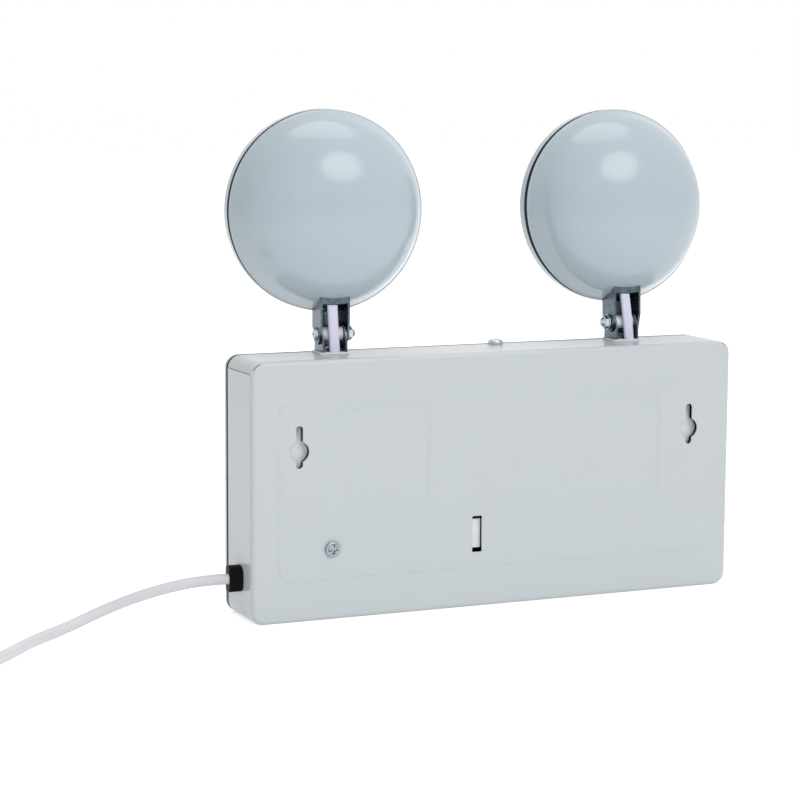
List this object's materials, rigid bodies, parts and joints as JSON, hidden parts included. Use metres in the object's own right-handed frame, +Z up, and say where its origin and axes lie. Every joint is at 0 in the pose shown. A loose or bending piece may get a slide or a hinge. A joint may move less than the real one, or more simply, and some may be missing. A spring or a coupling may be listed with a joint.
{
  "type": "twin head emergency light",
  "caption": "Twin head emergency light: a flat white steel case that hangs on keyholes, with two round lamp heads on swivelling, tilting brackets and a mains lead.",
  "frame": {"origin": "bottom centre of the box of the light without its lead, on the surface that it stands on", "axes": "+Z up, -Y to the front of the cover, +Y to the wall, +X to the side that the lead leaves from"},
  "size_m": [0.4845, 0.1116, 0.2432],
  "materials": {
    "white_paint": "glossy powder coat",
    "white_shell": "glossy",
    "white_plastic": "satin",
    "zinc_plate": "bright zinc plate",
    "nickel_plate": "bright nickel",
    "black_plastic": "moulded",
    "black_rubber": "matte",
    "white_cord": "satin sheath",
    "lead_sheath": "satin sheath",
    "green_board": "solder mask",
    "transformer_iron": "varnished",
    "cell_metal": "satin",
    "green_lamp": "clear tinted",
    "red_plastic": "glossy",
    "clear_lens": "clear",
    "silvered_plastic": "metallised",
    "lamp_yellow": "phosphor"
  },
  "bodies": {
    "case": {"rear_case": "white_paint", "front_cover": "white_paint", "cover_screw": "zinc_plate", "cover_nut": "zinc_plate", "keyhole_pockets": "white_plastic", "earth_screw": "zinc_plate", "earth_nut": "zinc_plate", "cable_gland": "black_plastic", "mains_cord": "white_cord", "cord_coil": "white_cord", "mains_plug": "white_cord", "plug_pins": "nickel_plate", "terminal_block": "white_plastic", "circuit_board": "green_board", "board_standoffs": "nickel_plate", "board_screws": "zinc_plate", "transformer": "transformer_iron", "capacitors": "black_plastic", "indicator_leds": "green_lamp", "indicator_clips": "black_plastic", "switch_body": "black_plastic", "switch_spring": "zinc_plate", "battery_cells": "cell_metal", "battery_sleeve": "white_plastic", "battery_clips": "zinc_plate"},
    "button": {"test_button": "red_plastic"},
    "right_yoke": {"right_swivel_foot": "white_plastic", "right_swivel_nut": "zinc_plate", "right_foot_rivet": "nickel_plate", "right_lower_bracket": "zinc_plate", "right_tilt_bolt": "zinc_plate", "right_cap_nut": "zinc_plate", "right_spacer_barrel": "white_plastic", "right_head_lead": "lead_sheath"},
    "right_head": {"right_upper_bracket": "zinc_plate", "right_bracket_rivets": "nickel_plate", "right_head_shell": "white_shell", "right_head_gasket": "black_rubber", "right_bezel_ring": "white_shell", "right_head_lens": "clear_lens", "right_reflector": "silvered_plastic", "right_led_board": "white_plastic", "right_head_leds": "lamp_yellow"},
    "left_yoke": {"left_swivel_foot": "white_plastic", "left_swivel_nut": "zinc_plate", "left_foot_rivet": "nickel_plate", "left_lower_bracket": "zinc_plate", "left_tilt_bolt": "zinc_plate", "left_cap_nut": "zinc_plate", "left_spacer_barrel": "white_plastic", "left_head_lead": "lead_sheath"},
    "left_head": {"left_upper_bracket": "zinc_plate", "left_bracket_rivets": "nickel_plate", "left_head_shell": "white_shell", "left_head_gasket": "black_rubber", "left_bezel_ring": "white_shell", "left_head_lens": "clear_lens", "left_reflector": "silvered_plastic", "left_led_board": "white_plastic", "left_head_leds": "lamp_yellow"}
  },
  "joints": [
    {"name": "right_pan", "type": "hinge", "parent": "case", "child": "right_yoke", "pos_m": [0.0799, -0.00154, 0.126], "axis": [0, 0, 1], "range_deg": [-85.2, 94.8]},
    {"name": "right_tilt", "type": "hinge", "parent": "right_yoke", "child": "right_head", "pos_m": [0.0799, -0.00154, 0.13545], "axis": [0.9965, -0.0837, 0], "range_deg": [-35, 45], "deforming": ["right_head_lead"]},
    {"name": "left_pan", "type": "hinge", "parent": "case", "child": "left_yoke", "pos_m": [-0.0799, -0.00154, 0.126], "axis": [0, 0, 1], "range_deg": [-87.4, 92.6]},
    {"name": "left_tilt", "type": "hinge", "parent": "left_yoke", "child": "left_head", "pos_m": [-0.0799, -0.00154, 0.13545], "axis": [0.999, -0.0454, 0], "range_deg": [-37.9, 42.1], "deforming": ["left_head_lead"]},
    {"name": "test_button", "type": "slide", "parent": "case", "child": "button", "axis": [0, 1, 0], "range_m": [0, 0.0015], "stiffness_N_per_m": 400, "springref_m": -0.002, "deforming": ["switch_spring"]}
  ]
}
